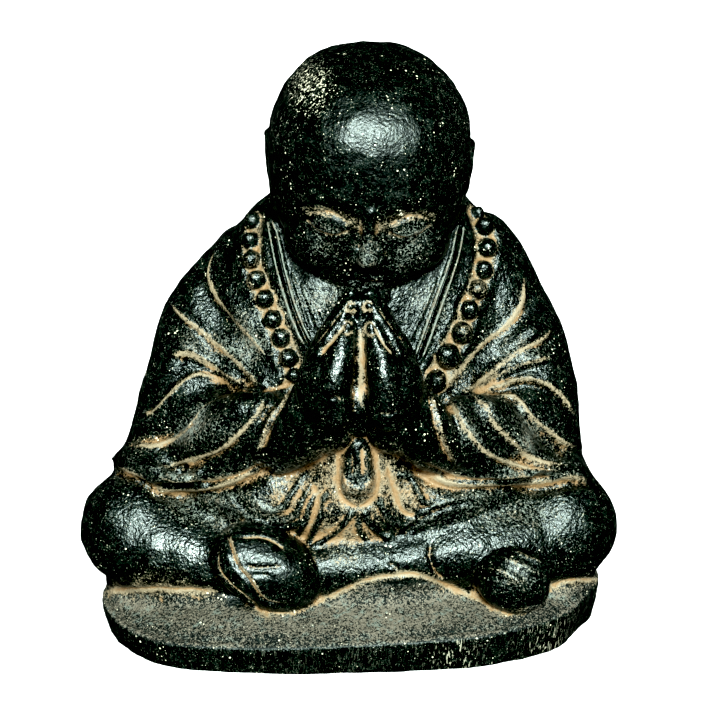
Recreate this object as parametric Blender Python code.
"""A seated child monk in prayer, cast in one piece with the rounded slab it sits on.

Metres, +Z up. The origin is the middle of the slab's flat underside, and the figure faces -Y.
The figure is built up as a sculptor would: rounded masses are laid over each other and fused,
the smaller masses are added and fused again, and then the robe's folds, the collar, the face and
the toes are carved into that skin. At the end the skin is thinned to a modest number of faces.
"""

import math

import bmesh
import bpy
import numpy as np
from mathutils import Vector
from mathutils.bvhtree import BVHTree

# Driving sizes, in metres.
FIGURE_HEIGHT = 0.1755
SLAB_WIDTH = 0.1586
SLAB_DEPTH = 0.099
SLAB_THICKNESS = 0.0105
SLAB_RISE_TO_RIGHT = 0.0042
SLAB_EDGE_ROUND = 0.0022
SLAB_UNDERCUT = 0.002
BEAD_DIAMETER = 0.0056
FIGURE_SET_BACK = 0.0055
FIGURE_SET_LEFT = 0.0003

# A unit is a millimetre on a figure 175.5 mm tall. Every place on the figure below is in units,
# from the foot of its own middle line on the slab's top: X to the viewer's right, Y away, Z up.
UNIT = FIGURE_HEIGHT / 175.5

# The fusing: the voxels of the two skins, the passes that round the joins, the faces kept.
MASS_VOXEL = 2.0
SKIN_VOXEL = 1.1
MASS_SMOOTHING = 6
SKIN_SMOOTHING = 2
SKIN_TRIANGLES = 9700

# The head's place and tilt, and its own axes.
HEAD = np.array((6.0, -8.0, 136.0))
HEAD_NOD = math.radians(20.0)
HEAD_LEAN = math.radians(3.0)

# The drawing board leans back behind the figure and is seen from one eye, as a front elevation is
# drawn. A line on it is in units: across from the figure's middle, and up from its foot.
BOARD_LEAN = math.radians(15.0)
BOARD_MIDDLE = np.array((3.8, 0.0, 72.5))
BOARD_EYE_HEIGHT = 97.8
EYE_DISTANCE = 700.0


def smooth_path(points, count):
    """A smooth curve through the points: each stretch is a cubic that leaves along its neighbours."""
    p = np.asarray(points, float)
    ends = np.vstack([2 * p[0] - p[1], p, 2 * p[-1] - p[-2]])
    t = np.linspace(0, len(p) - 1, count)
    i = np.minimum(t.astype(int), len(p) - 2)
    s = (t - i)[:, None]
    a, b, c, d = ends[i], ends[i + 1], ends[i + 2], ends[i + 3]
    return 0.5 * (2 * b + (c - a) * s + (2 * a - 5 * b + 4 * c - d) * s**2 + (3 * b - a - 3 * c + d) * s**3)


def limb(path, sizes, up=(0, 0, 1)):
    """Rings along a path, each an ellipse of half-width and half-height, with half-round ends."""
    centre = smooth_path(path, 5 * len(path))
    size = np.broadcast_to(np.asarray(sizes, float).reshape(len(path), -1), (len(path), 2))
    size = smooth_path(size, len(centre))
    along = np.gradient(centre, axis=0)
    along /= np.linalg.norm(along, axis=1)[:, None]
    arc = np.linspace(0.12, 1, 6)[:, None] * math.pi / 2
    first, last = size[0].mean(), size[-1].mean()
    start = centre[0] - along[0] * first * np.cos(arc)
    end = centre[-1] + along[-1] * last * np.cos(arc[::-1])
    centre = np.vstack([start, centre, end])
    size = np.vstack([size[0] * np.sin(arc), size, size[-1] * np.sin(arc[::-1])])
    along = np.vstack([along[:1]] * 6 + [along] + [along[-1:]] * 6)
    across = np.cross(along, np.asarray(up, float))
    across /= np.linalg.norm(across, axis=1)[:, None]
    above = np.cross(across, along)
    angle = np.linspace(0, 2 * math.pi, 28, endpoint=False)[None, :, None]
    return (
        centre[:, None]
        + across[:, None] * size[:, None, :1] * np.cos(angle)
        + above[:, None] * size[:, None, 1:] * np.sin(angle)
    )


def egg(middle, halves, axes=np.eye(3), power=2.0):
    """Rings of an ellipsoid, boxier the higher its power; each row of axes is one of its directions."""
    up = np.linspace(-math.pi / 2, math.pi / 2, 30)[1:-1, None]
    round_ = np.linspace(0, 2 * math.pi, 40, endpoint=False)[None]
    flat = np.cos(up)
    unit = np.stack(np.broadcast_arrays(flat * np.cos(round_), flat * np.sin(round_), np.sin(up)), -1)
    unit /= (np.abs(unit) ** power).sum(-1, keepdims=True) ** (1 / power)
    return np.asarray(middle, float) + (unit * np.asarray(halves, float)) @ np.asarray(axes, float)


def bell(rings):
    """Rings stacked up: each is (height, middle x, middle y, half-width, half-depth)."""
    z, cx, cy, rx, ry = smooth_path(rings, 6 * len(rings)).T[:, :, None]
    angle = np.linspace(0, 2 * math.pi, 64, endpoint=False)[None]
    return np.stack(np.broadcast_arrays(cx + rx * np.cos(angle), cy + ry * np.sin(angle), z), -1)


def closed_skin(rings):
    """Points and faces of a skin over the rings, with a pole at each end."""
    n, m = rings.shape[:2]
    points = np.vstack([rings.reshape(-1, 3), rings[0].mean(0), rings[-1].mean(0)])
    i, j = np.meshgrid(np.arange(n - 1), np.arange(m), indexing="ij")
    k = (j + 1) % m
    quads = np.stack([i * m + j, i * m + k, (i + 1) * m + k, (i + 1) * m + j], -1).reshape(-1, 4)
    j = np.arange(m)
    k = (j + 1) % m
    low = np.stack([np.full(m, n * m), k, j], -1)
    high = np.stack([np.full(m, n * m + 1), (n - 1) * m + j, (n - 1) * m + k], -1)
    return points, quads.tolist() + low.tolist() + high.tolist()


def mesh_of(points, faces):
    mesh = bpy.data.meshes.new("skin")
    mesh.from_pydata(np.asarray(points).tolist(), [], faces)
    return mesh


def joined(skins):
    """One mesh of several closed skins, each turned to face outwards."""
    points, faces = [], []
    start = 0
    for rings in skins:
        p, f = closed_skin(rings)
        points.append(p)
        faces += [[start + v for v in face] for face in f]
        start += len(p)
    mesh = mesh_of(np.vstack(points), faces)
    shape = bmesh.new()
    shape.from_mesh(mesh)
    bmesh.ops.recalc_face_normals(shape, faces=shape.faces)
    shape.to_mesh(mesh)
    shape.free()
    return mesh


def fused(mesh, voxel, smoothing):
    """The outer skin of everything in the mesh, remade on voxels and rounded where masses meet."""
    clay = bpy.data.objects.new("clay", mesh)
    bpy.context.scene.collection.objects.link(clay)
    remesh = clay.modifiers.new("fuse", "REMESH")
    remesh.mode = "VOXEL"
    remesh.voxel_size = voxel
    rounding = clay.modifiers.new("round", "SMOOTH")
    rounding.factor = 0.5
    rounding.iterations = smoothing
    graph = bpy.context.evaluated_depsgraph_get()
    skin = bpy.data.meshes.new_from_object(clay.evaluated_get(graph))
    bpy.data.objects.remove(clay)
    return skin


def points_of(mesh):
    points = np.empty(len(mesh.vertices) * 3, np.float32)
    mesh.vertices.foreach_get("co", points)
    return points.reshape(-1, 3).astype(float)


def normals_of(mesh):
    normals = np.empty(len(mesh.vertices) * 3, np.float32)
    mesh.vertex_normals.foreach_get("vector", normals)
    return normals.reshape(-1, 3).astype(float)


def move_points(mesh, points):
    mesh.vertices.foreach_set("co", points.astype(np.float32).ravel())
    mesh.update()


def mirrored(path, middle=0.0):
    return [(2 * middle - p[0], *p[1:]) for p in path]


# The robed body: a bell for the trunk, and on each side a thigh, a shin, an arm and its sleeve.
TRUNK = [
    (-8, 0, 1, 60, 35),
    (20, 0, 1, 57, 34),
    (45, 0.5, 0, 53, 32),
    (65, 1, 0, 51, 29),
    (85, 2, 1, 48, 26),
    (100, 2.5, 2, 45, 23.5),
    (109, 3, 3, 42, 21.5),
    (117, 3.5, 4, 37.5, 19),
    (124, 4.5, 5, 32, 16),
    (130, 5, 5, 22, 12),
]
LEFT_THIGH = [(-26, 14, 22), (-48, 2, 22), (-66.5, -13, 22.5)], [(21, 21), (19, 19), (18, 19)]
RIGHT_THIGH = [(26, 14, 22), (46, 2, 22), (65.5, -12, 23)], [(21, 21), (19, 19), (18.5, 19)]
LEFT_SHIN = [(-66, -16, 18), (-48, -23, 16.5), (-26, -28, 15), (0, -29, 13)], [
    (15, 16),
    (14, 15),
    (11, 12),
    (9, 10),
]
RIGHT_SHIN = [(64, -15, 19), (46, -25, 20), (26, -31, 19), (8, -34, 16.5), (-12, -35, 16)], [
    (15, 16),
    (12, 13),
    (9, 10),
    (7.5, 8.5),
    (7, 8),
]
LEFT_ARM = [(-33, 7, 105), (-43.5, 6, 84), (-48.5, 0, 62), (-59, -7, 42)], [
    (13, 13),
    (16.5, 16),
    (16.3, 18),
    (15.5, 12),
]
RIGHT_ARM = [(38, 7, 106), (48, 6, 87), (53, 0, 66), (59.5, -7, 42)], [
    (13, 13),
    (16.5, 16),
    (16.8, 18),
    (15, 12),
]
LEFT_SLEEVE = [(-52, -6, 50), (-40, -22, 54), (-27, -32, 62)], [(11, 15), (10, 14), (8, 12)]
RIGHT_SLEEVE = [(56, -6, 52), (46, -22, 54), (34, -33, 60)], [(11, 15), (10, 14), (8, 12)]
LAP = [(-40, -18, 40), (-24, -25, 38), (2, -30, 36), (28, -25, 38), (44, -18, 40)], [
    (11, 12),
    (11, 13),
    (9, 12),
    (11, 13),
    (11, 12),
]
LEFT_HEM = [(-73.5, -4, 42), (-68, -16, 44.5), (-59, -25, 43.5), (-48, -31, 44)], [2.6, 2.8, 2.8, 2.4]
RIGHT_HEM = [(76, -3, 39), (69.5, -16, 44), (59, -25, 45.5), (47, -31, 46)], [2.6, 2.8, 2.8, 2.4]
CHEST_FILL = (3.2, -24, 80), (9, 16, 21)
COLLAR = [(-21, -7, 117), (-17, 7, 125), (4, 16, 129), (25, 7, 126), (30, -7, 119)], [
    (2.6, 4),
    (2.8, 4.5),
    (3, 5),
    (2.8, 4.5),
    (2.6, 4),
]


# The slab's top swells up to the crossed legs as a low bank, which ends at the slab's edge.
BANK_HEIGHT = 11.0
BANK_DIP = 2.0
BANK_BARE_BACK = 10.0


def bank():
    """A low mound over the slab: it reaches the slab's front and sides and stops short of its back."""
    half_depth = SLAB_DEPTH / 2 / UNIT - BANK_BARE_BACK / 2
    front = -FIGURE_SET_BACK / UNIT - SLAB_DEPTH / 2 / UNIT
    middle = (FIGURE_SET_LEFT / UNIT, front + half_depth, -BANK_DIP)
    return egg(middle, (SLAB_WIDTH / 2 / UNIT, half_depth, BANK_HEIGHT + BANK_DIP))


def body_masses():
    bars = [LEFT_THIGH, RIGHT_THIGH, LEFT_SHIN, RIGHT_SHIN, LEFT_ARM, RIGHT_ARM]
    bars += [LEFT_SLEEVE, RIGHT_SLEEVE, LEFT_HEM, RIGHT_HEM, LAP]
    return [bell(TRUNK), bank(), egg(*CHEST_FILL)] + [limb(path, sizes) for path, sizes in bars]


# The head: a skull, a fuller lower face, a nose and two ears, all in the head's own axes.
HEAD_FRONT = np.array((0.0, -math.cos(HEAD_NOD), -math.sin(HEAD_NOD)))
HEAD_TOP = np.array((0.0, -math.sin(HEAD_NOD), math.cos(HEAD_NOD)))
HEAD_RIGHT = np.array((1.0, 0.0, 0.0))
HEAD_AXES = np.array(
    (
        HEAD_RIGHT * math.cos(HEAD_LEAN) - HEAD_TOP * math.sin(HEAD_LEAN),
        HEAD_FRONT,
        HEAD_TOP * math.cos(HEAD_LEAN) + HEAD_RIGHT * math.sin(HEAD_LEAN),
    )
)


def on_head(points):
    """Places given as (right, front, up) of the head's middle."""
    return HEAD + np.asarray(points, float) @ HEAD_AXES


SKULL = (-0.3, -2, 3.0), (31.2, 33.2, 33.1)
SKULL_POWER = 2.35
LOWER_FACE = (0, 6, -13), (25.5, 24, 25)
CHEEK = (12.5, 17.3, -13), (12.5, 10.5, 12)
CHIN = (0, 23, -31), (8, 7, 6)
NOSE = [(0, 30.2, 1), (0, 32.3, -6), (0, 33.8, -11.5)], [2.6, 2.5, 3.4]
NOSTRIL = (3.5, 31.2, -13), (2.5, 3.0, 2.2)
EAR_RIM = [
    (29.6, 3, -4),
    (30.4, 1, 3),
    (30.8, -4, 7),
    (30.8, -9, 4),
    (30.2, -9, -3),
    (28.4, -5, -10),
    (26.0, -2, -14),
]
EAR_RIM_SIZE = [1.0, 1.3, 1.5, 1.6, 1.6, 1.9, 1.8]
EAR_BOWL = (27.6, -3, -2), (2.4, 6, 9.5)


def head_masses():
    eggs = [LOWER_FACE, CHIN]
    for middle, halves in (CHEEK, NOSTRIL, EAR_BOWL):
        eggs += [(middle, halves), ((-middle[0], *middle[1:]), halves)]
    masses = [egg(on_head(middle), halves, HEAD_AXES) for middle, halves in eggs]
    masses.append(egg(on_head(SKULL[0]), SKULL[1], HEAD_AXES, SKULL_POWER))
    masses.append(limb(on_head(NOSE[0]), NOSE[1], up=HEAD_FRONT))
    for rim in (EAR_RIM, mirrored(EAR_RIM)):
        masses.append(limb(on_head(rim), EAR_RIM_SIZE, up=HEAD_RIGHT))
    return masses


# The praying hands: each has a wrist and palm, four fingers laid one behind another, and a thumb.
PALMS_MIDDLE = 3.2
WRIST = [(-25, -33, 57), (-17, -38, 63), (-10.5, -40, 73), (-7.5, -40, 83), (-5.5, -39.5, 91)]
WRIST_SIZE = [(11, 9.5), (10.5, 11), (9.5, 10.5), (9, 7.5), (7, 4.5)]
FINGER_ROOT = (-10.5, -47.0, 80.0)
FINGER_TIP = (-2.2, -45.5, 101.0)
FINGER_STEP = 4.1
FINGER_REACH = (0.0, 2.5, 1.0, -4.5)
FINGER_SIZE = [3.0, 2.9, 2.3]
THUMB = [(-7.5, -47, 70), (-6.2, -50.5, 79), (-4.6, -51, 88), (-2.9, -49.5, 96.5)]
THUMB_SIZE = [6.0, 5.6, 4.2, 2.7]


def hand_masses():
    masses = []
    bars = [(WRIST, WRIST_SIZE), (THUMB, THUMB_SIZE)]
    for n, reach in enumerate(FINGER_REACH):
        back = FINGER_STEP * n
        root = np.array(FINGER_ROOT) + (0, back, 0)
        tip = np.array(FINGER_TIP) + (0, back * 0.9, reach)
        knuckle = 0.45 * root + 0.55 * tip + (-1.6, 0, 0)
        bars.append(([root, knuckle, tip], FINGER_SIZE))
    for path, sizes in bars:
        near = [(p[0] + PALMS_MIDDLE, p[1], p[2]) for p in path]
        masses += [limb(side, sizes, up=(0, 1, 0)) for side in (near, mirrored(near, PALMS_MIDDLE))]
    return masses


# The bare feet show below the crossed shins, and a tied end of the sash hangs below the hands.
LEFT_FOOT = (-25, -39, 17.5), (18, 10, 12), math.radians(26)
RIGHT_FOOT = (50, -37, 13.5), (12, 9.5, 9.8), math.radians(14)
SASH_END = [(2.6, -30, 64), (2.6, -35, 56), (2.4, -37.5, 47)], [(3.2, 2.2), (3.8, 2.6), (4.2, 2.8)]
PALM_HEELS = (3.2, -41, 72.5), (8, 9, 9)
FINGER_FILL = [(3.2, -40, 76), (3.2, -40, 88), (3.2, -41.5, 101)], [(3, 8), (2.5, 7), (2.0, 4.5)]
NECK = [(3, 2, 104), (5, -3, 122)], [17, 16]


def small_masses():
    masses = [limb(*SASH_END, up=(0, -1, 0)), limb(*NECK), limb(*COLLAR)]
    masses += [egg(*PALM_HEELS), limb(*FINGER_FILL)]
    for middle, halves, turn in (LEFT_FOOT, RIGHT_FOOT):
        c, s = math.cos(turn), math.sin(turn)
        masses.append(egg(middle, halves, ((c, 0, -s), (0, 1, 0), (s, 0, c))))
    return masses


def board_rays(points):
    """The eye, and the direction from it through each point of the drawing board."""
    lean_up = np.array((0.0, math.sin(BOARD_LEAN), math.cos(BOARD_LEAN)))
    towards = np.array((0.0, math.cos(BOARD_LEAN), -math.sin(BOARD_LEAN)))
    across, up = np.asarray(points, float).T[:, :, None]
    on_board = (
        BOARD_MIDDLE
        + (across - BOARD_MIDDLE[0]) * np.array((1.0, 0.0, 0.0))
        + (up - BOARD_EYE_HEIGHT) * lean_up
    )
    eye = BOARD_MIDDLE - EYE_DISTANCE * towards
    return eye, on_board - eye


def draped(tree, line, count, behind=False):
    """Places on the skin under a line: cast back from the eye, or straight forward from behind."""
    path = smooth_path(line, count)
    if behind:
        hits = [tree.ray_cast(Vector((x, 200, z)), Vector((0, -1, 0)))[0] for x, z in path]
    else:
        eye, ways = board_rays(path)
        hits = [tree.ray_cast(Vector(eye), Vector(way))[0] for way in ways]
    return np.array([hit for hit in hits if hit is not None])


# Fold lines on the drawing board: (depth, half-width, points).
FOLDS = {
    "left shoulder": (
        1.6,
        2.6,
        [(-43.7, 136), (-45.6, 127), (-42.5, 119), (-35.5, 110), (-29.6, 103.5), (-25.8, 99)],
    ),
    "left arm": (2.0, 2.8, [(-56.6, 116.4), (-52.7, 112), (-43.7, 105), (-36, 98), (-27.7, 89.4)]),
    "left elbow": (2.2, 3.2, [(-56, 99.7), (-46.2, 97.8), (-38.7, 93.4), (-31, 89.6)]),
    "left forearm": (
        1.8,
        2.6,
        [(-66, 82), (-62.9, 82), (-58, 86.8), (-52.8, 91.5), (-46.9, 94), (-37, 90.5)],
    ),
    "left sleeve": (
        2.0,
        2.6,
        [(-70.8, 72.8), (-65.5, 72), (-55.4, 73.4), (-49.5, 78.6), (-45.6, 83.7), (-37, 89)],
    ),
    "left cuff fold": (
        1.7,
        2.0,
        [(-62.3, 63.8), (-50, 67), (-41.2, 70), (-34.7, 75.3), (-29.6, 81), (-26, 87)],
    ),
    "left cuff": (1.8, 1.6, [(-29.6, 67.6), (-27, 75.3), (-24.5, 81), (-21.3, 85.5), (-18, 91)]),
    "left crook": (1.8, 2.2, [(-37, 90.3), (-30.2, 89.4), (-23.9, 89.8), (-17.5, 91)]),
    "right shoulder": (
        1.7,
        2.8,
        [(54.9, 125.5), (55, 118.3), (52.2, 112.6), (47.8, 108), (42, 103.6), (30.5, 90.3)],
    ),
    "right arm": (
        1.8,
        2.4,
        [(64, 108.2), (60.7, 105), (55.5, 102.3), (50.3, 99), (44, 94), (37, 88.5)],
    ),
    "right elbow": (1.5, 2.2, [(64, 98.4), (59, 97.8), (54, 96.6), (49, 94.7), (41, 90.5)]),
    "right forearm": (
        1.8,
        2.4,
        [(71, 80.2), (68.2, 85.5), (64.5, 89.4), (59.4, 92), (53.5, 92.5), (47.8, 91), (38, 88.5)],
    ),
    "right sleeve": (
        2.0,
        2.6,
        [(72.3, 70.8), (67, 72.8), (61.3, 77.4), (56.8, 81.8), (54, 85.5), (50.3, 88), (38, 88)],
    ),
    "right cuff fold": (
        1.9,
        2.6,
        [(68.9, 65), (56.8, 68), (51.6, 72), (47.2, 76), (44, 80), (42, 84.3), (38, 88.5)],
    ),
    "right rim": (
        1.7,
        2.0,
        [(65.7, 63.2), (51.6, 65.7), (44.6, 68.2), (40, 72), (36.2, 76.7), (33.7, 81.8), (30.5, 88)],
    ),
    "right cuff": (1.8, 1.6, [(35.5, 63.8), (31.8, 71), (29.2, 76.7), (27.9, 83), (25.5, 89)]),
    "left hem": (
        2.4,
        2.2,
        [(-76, 65), (-71.4, 63.7), (-65.4, 61.3), (-58, 57.2), (-44, 56.6), (-31, 59), (-19.5, 64)],
    ),
    "right hem": (
        2.4,
        2.2,
        [(16.7, 68), (23.3, 62), (30.5, 59.4), (45, 58.5), (57, 59), (66, 61.6), (77, 61.3)],
    ),
    "lap outer left": (1.6, 2.0, [(-39.5, 56.4), (-34, 50), (-25, 46.2), (-18.9, 48), (-14.8, 52.5)]),
    "lap left": (1.5, 1.8, [(-13.6, 64.3), (-16.7, 58.2), (-22.6, 52.5)]),
    "lap inner left": (1.3, 1.5, [(-6.9, 57.6), (-9, 49.2), (-10.7, 43.4)]),
    "lap foot left": (1.3, 1.5, [(-1.6, 52.8), (-4, 48), (-8.2, 41)]),
    "lap side left": (1.6, 1.8, [(-5.3, 73.3), (-4.4, 65.4), (-2.8, 57.6), (0.6, 53.5)]),
    "lap side right": (1.6, 1.8, [(9.5, 73.3), (8.3, 65.4), (7.2, 58.2), (3.6, 54)]),
    "lap foot right": (1.3, 1.5, [(0.9, 54.7), (4.7, 48), (12, 43.2)]),
    "lap inner right": (1.3, 1.5, [(8.2, 57.6), (10.7, 50.4), (16.7, 45)]),
    "lap right": (1.5, 1.8, [(11.3, 63.8), (15, 60.7), (19.5, 55.4), (23, 52.8), (29, 54.7)]),
    "lap outer right": (1.5, 1.8, [(12.6, 69), (18, 65), (21.4, 60.7), (25.8, 56.4)]),
    "left collar": (
        0.9,
        0.9,
        [(-24.5, 141), (-23.9, 137.8), (-22, 130.5), (-18.7, 120.3), (-14.8, 110), (-13.2, 102)],
    ),
    "left chest": (1.0, 1.2, [(-19.3, 127.4), (-15.4, 117.7), (-12.3, 108.8), (-11.3, 104.4)]),
    "right collar": (
        0.9,
        0.9,
        [(34.6, 140), (34.3, 137.6), (31.8, 129.3), (27.3, 116.4), (22, 103.6), (20.4, 99)],
    ),
    "right chest": (1.0, 1.2, [(25.3, 122.8), (22, 115), (17.6, 106.8)]),
    "left toe rim": (1.3, 1.3, [(-38.4, 45), (-35.9, 35.5), (-31.4, 28.6), (-24.5, 22)]),
    "left toe": (0.6, 0.9, [(-35, 38.4), (-27.7, 39.3), (-18.9, 35.5)]),
    "right toe low": (0.9, 1.0, [(43.4, 33), (48.7, 31.4), (54.7, 27.4)]),
    "right toe high": (0.9, 1.0, [(46.5, 36.2), (52.8, 34), (58.5, 31.8)]),
    "ankle hem": (1.1, 1.0, [(25.2, 40.5), (26, 35.5), (27.4, 30.2)]),
}
# Folds down the back, seen straight from behind: (depth, half-width, points across and up).
BACK_FOLDS = {
    "back left": (1.3, 3.4, [(-30, 108), (-33, 84), (-36, 56), (-41, 30)]),
    "back left middle": (1.2, 3.0, [(-13, 112), (-13, 86), (-17, 58), (-20, 28)]),
    "back right middle": (1.2, 3.0, [(17, 112), (18, 84), (19, 56), (23, 26)]),
    "back right": (1.3, 3.4, [(37, 108), (41, 82), (44, 54), (49, 30)]),
    "back middle": (1.1, 3.0, [(3, 92), (2, 66), (1, 40), (0, 20)]),
    "back hem": (1.5, 1.8, [(-54, 14), (-30, 11.5), (0, 10.5), (30, 11.5), (54, 14)]),
}
FOLD_SAMPLES = 26
FOLD_SHARPNESS = 1.35


def nearness(points, line):
    """For each point its distance to the line, and how far along the line that is, from 0 to 1."""
    away = np.full(len(points), 1e9)
    share = np.zeros(len(points))
    for n, (a, b) in enumerate(zip(line[:-1], line[1:])):
        step = b - a
        t = np.clip((points - a) @ step / max(step @ step, 1e-12), 0, 1)
        d = np.linalg.norm(points - a - t[:, None] * step, axis=1)
        closer = d < away
        away[closer] = d[closer]
        share[closer] = ((n + t) / (len(line) - 1))[closer]
    return away, share


def carved(points, tree):
    """How deep each point of the skin lies below it: the deepest of the folds that pass near."""
    depth_there = np.zeros(len(points))
    folds = [(fold, False) for fold in FOLDS.values()] + [(fold, True) for fold in BACK_FOLDS.values()]
    for (depth, width, drawing), behind in folds:
        line = draped(tree, drawing, FOLD_SAMPLES, behind)
        reach = 3.5 * width
        near = ((points > line.min(0) - reach) & (points < line.max(0) + reach)).all(1)
        away, share = nearness(points[near], line)
        ends = np.minimum(1, np.minimum(share, 1 - share) / 0.12)
        cut = depth * (0.35 + 0.65 * ends) * np.exp(-((away / width) ** FOLD_SHARPNESS))
        depth_there[near] = np.maximum(depth_there[near], cut)
    return depth_there


# The face, in the head's axes: (right, up) of each stroke, mirrored to the other side.
FACE_STROKES = {
    "brow": (-0.9, 2.4, [(5, 2.5), (12, 6), (20, 2.5)]),
    "closed lids": (1.0, 0.9, [(6.5, -4.4), (12.5, -6.4), (19, -3.6)]),
    "lid fold": (0.5, 0.9, [(7, -0.8), (12.5, 1.2), (18.5, -0.6)]),
    "mouth": (0.9, 0.9, [(-7, -22.8), (-2.5, -23.4), (2.5, -23.4), (7, -22.8)]),
    "lower lip": (-0.9, 1.8, [(-4, -25.6), (0, -26.2), (4, -25.6)]),
    "upper lip": (-0.8, 1.5, [(-5, -21.6), (0, -21.2), (5, -21.6)]),
}
EYEBALL = (12.6, -3.6), (6.4, 3.6), 1.5
SOCKET = (12.0, -2.0), (9.0, 5.0), 1.6
FACE_FRONT = 12.0


def face_relief(points):
    """How far the face is carved in, in units: strokes along lines, and rounded lids and sockets."""
    right, front, up = ((points - HEAD) @ HEAD_AXES.T).T
    flat = np.stack([right, up], 1)
    cut = np.zeros(len(points))
    for side in (-1, 1):
        for depth, width, drawing in FACE_STROKES.values():
            line = smooth_path(drawing, 12) * (side, 1)
            away, _ = nearness(flat, line)
            share = 1.0 if drawing[0][0] > 0 else 0.5
            cut += share * depth * np.exp(-((away / width) ** 2))
        for (x, z), (half_x, half_z), depth in (EYEBALL, SOCKET):
            fall = np.exp(-(((right - side * x) / half_x) ** 2) - ((up - z) / half_z) ** 2)
            cut += depth * fall * (1 if (half_x, half_z) == SOCKET[1] else -1)
    inside = (front > FACE_FRONT) & (np.linalg.norm(points - HEAD, axis=1) < 46) & (np.abs(right) < 27)
    return np.where(inside, cut, 0.0)


# The bead string: the places of its two hanging runs on the board.
LEFT_BEADS = [(-30.2, 142), (-31, 136), (-30.9, 130), (-29.2, 123.6), (-26.4, 117.7), (-21.3, 105.5), (-17.6, 94)]
RIGHT_BEADS = [(39.8, 142.6), (41.7, 139), (42.4, 134), (41.4, 126.7), (37, 113.8), (34.6, 107), (27.3, 92)]
BEAD_GAP = 1.16
BEAD_STAND = 0.5


def beads(tree):
    """Beads evenly spaced along each run, each sunk by a third into the robe that carries it."""
    radius = BEAD_DIAMETER / UNIT / 2
    masses = []
    for run in (LEFT_BEADS, RIGHT_BEADS):
        line = draped(tree, run, 60)
        length = np.concatenate([[0], np.cumsum(np.linalg.norm(np.diff(line, axis=0), axis=1))])
        count = int(length[-1] // (2 * radius * BEAD_GAP)) + 1
        for at in np.linspace(0, length[-1], count):
            place = np.array([np.interp(at, length, line[:, k]) for k in range(3)])
            normal = np.array(tree.find_nearest(Vector(place))[1])
            masses.append(egg(place + normal * radius * BEAD_STAND, (radius,) * 3))
    return masses


# The slab's outline from above, in shares of its half-width and half-depth, front first.
SLAB_OUTLINE = [
    (0.0, -0.99),
    (0.27, -0.95),
    (0.5, -0.84),
    (0.74, -0.59),
    (0.93, -0.27),
    (1.0, 0.0),
    (0.99, 0.31),
    (0.87, 0.66),
    (0.6, 0.88),
    (0.27, 0.98),
    (0.0, 1.0),
    (-0.27, 0.99),
    (-0.6, 0.9),
    (-0.86, 0.69),
    (-0.98, 0.35),
    (-1.0, 0.03),
    (-0.98, -0.23),
    (-0.86, -0.58),
    (-0.66, -0.87),
    (-0.42, -0.98),
    (-0.2, -1.0),
]


def slab():
    """The slab's rings: its outline with a rounded top edge, run on below the underside to be cut flat."""
    outline = smooth_path(SLAB_OUTLINE + SLAB_OUTLINE[:1], 97)[:-1]
    half = np.array((SLAB_WIDTH, SLAB_DEPTH)) / 2 / UNIT
    edge = SLAB_EDGE_ROUND / UNIT
    turn = np.linspace(0, math.pi / 2, 6)
    inset = np.concatenate([[2 * SLAB_UNDERCUT / UNIT, 0], edge * (1 - np.cos(turn))])
    height = np.concatenate([[-2 * SLAB_THICKNESS / UNIT, -edge * 1.5], edge * (np.sin(turn) - 1)])
    middle = (FIGURE_SET_LEFT / UNIT, -FIGURE_SET_BACK / UNIT)
    flat = [outline * (half - i) + middle for i in inset]
    slope = SLAB_RISE_TO_RIGHT / SLAB_WIDTH
    return np.stack([np.column_stack([ring, z + slope * ring[:, 0]]) for ring, z in zip(flat, height)])


def tree_of(mesh):
    return BVHTree.FromPolygons([v.co for v in mesh.vertices], [p.vertices for p in mesh.polygons])


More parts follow.
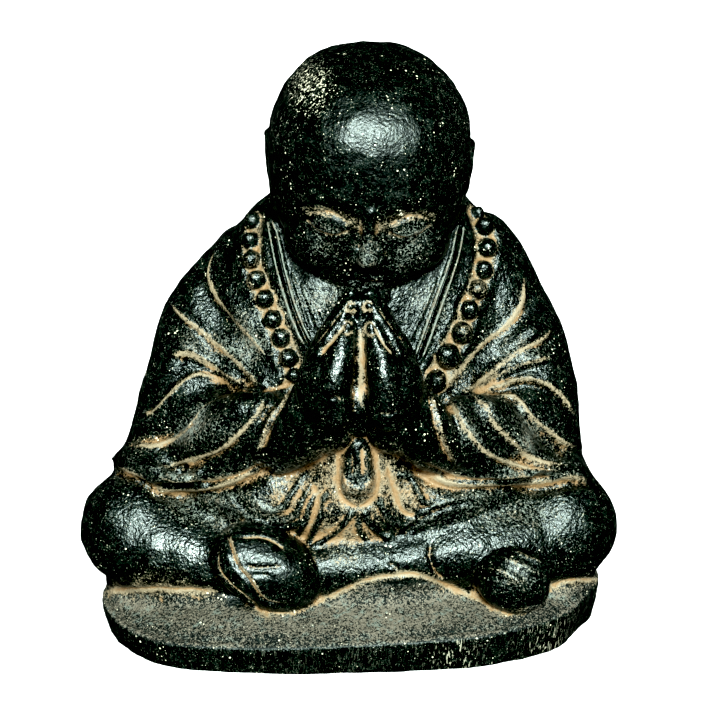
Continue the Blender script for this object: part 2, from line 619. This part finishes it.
def sculpted():
    """The whole figure in units: masses fused, small masses fused on, then the carving."""
    robe = fused(joined(body_masses()), MASS_VOXEL, MASS_SMOOTHING)
    tree = tree_of(robe)
    small = joined(head_masses() + hand_masses() + small_masses() + beads(tree) + [slab()])
    shape = bmesh.new()
    shape.from_mesh(robe)
    shape.from_mesh(small)
    shape.to_mesh(robe)
    shape.free()
    skin = fused(robe, SKIN_VOXEL, SKIN_SMOOTHING)
    points = points_of(skin)
    cut = carved(points, tree_of(skin)) + face_relief(points)
    move_points(skin, points - normals_of(skin) * cut[:, None])
    return skin


def finish(mesh):
    """Thins the skin, brings it to metres on the slab, and cuts the underside flat."""
    figure = bpy.data.objects.new("monk_statue", mesh)
    bpy.context.scene.collection.objects.link(figure)
    thin = figure.modifiers.new("thin", "DECIMATE")
    triangles = sum(len(p.vertices) - 2 for p in mesh.polygons)
    thin.ratio = SKIN_TRIANGLES / triangles
    graph = bpy.context.evaluated_depsgraph_get()
    thinned = bpy.data.meshes.new_from_object(figure.evaluated_get(graph))
    figure.modifiers.remove(thin)
    move_points(thinned, points_of(thinned) * UNIT + (-FIGURE_SET_LEFT, FIGURE_SET_BACK, SLAB_THICKNESS))
    shape = bmesh.new()
    shape.from_mesh(thinned)
    geometry = shape.verts[:] + shape.edges[:] + shape.faces[:]
    down = (0, 0, -1)
    cut = bmesh.ops.bisect_plane(shape, geom=geometry, plane_co=(0, 0, 0), plane_no=down, clear_outer=True)
    rim = [e for e in cut["geom_cut"] if isinstance(e, bmesh.types.BMEdge)]
    bmesh.ops.holes_fill(shape, edges=rim)
    bmesh.ops.triangulate(shape, faces=shape.faces[:])
    bmesh.ops.recalc_face_normals(shape, faces=shape.faces)
    shape.to_mesh(thinned)
    shape.free()
    thinned.shade_smooth()
    figure.data = thinned
    return figure


def cast_stone():
    """Cast stone, stained green black and waxed."""
    material = bpy.data.materials.new("cast_stone")
    material.use_nodes = True
    shader = material.node_tree.nodes["Principled BSDF"]
    shader.inputs["Base Color"].default_value = (0.03, 0.04, 0.035, 1)
    shader.inputs["Roughness"].default_value = 0.45
    shader.inputs["Metallic"].default_value = 0.0
    return material


def main():
    for old in list(bpy.data.objects):
        bpy.data.objects.remove(old)
    figure = finish(sculpted())
    figure.data.materials.append(cast_stone())


main()
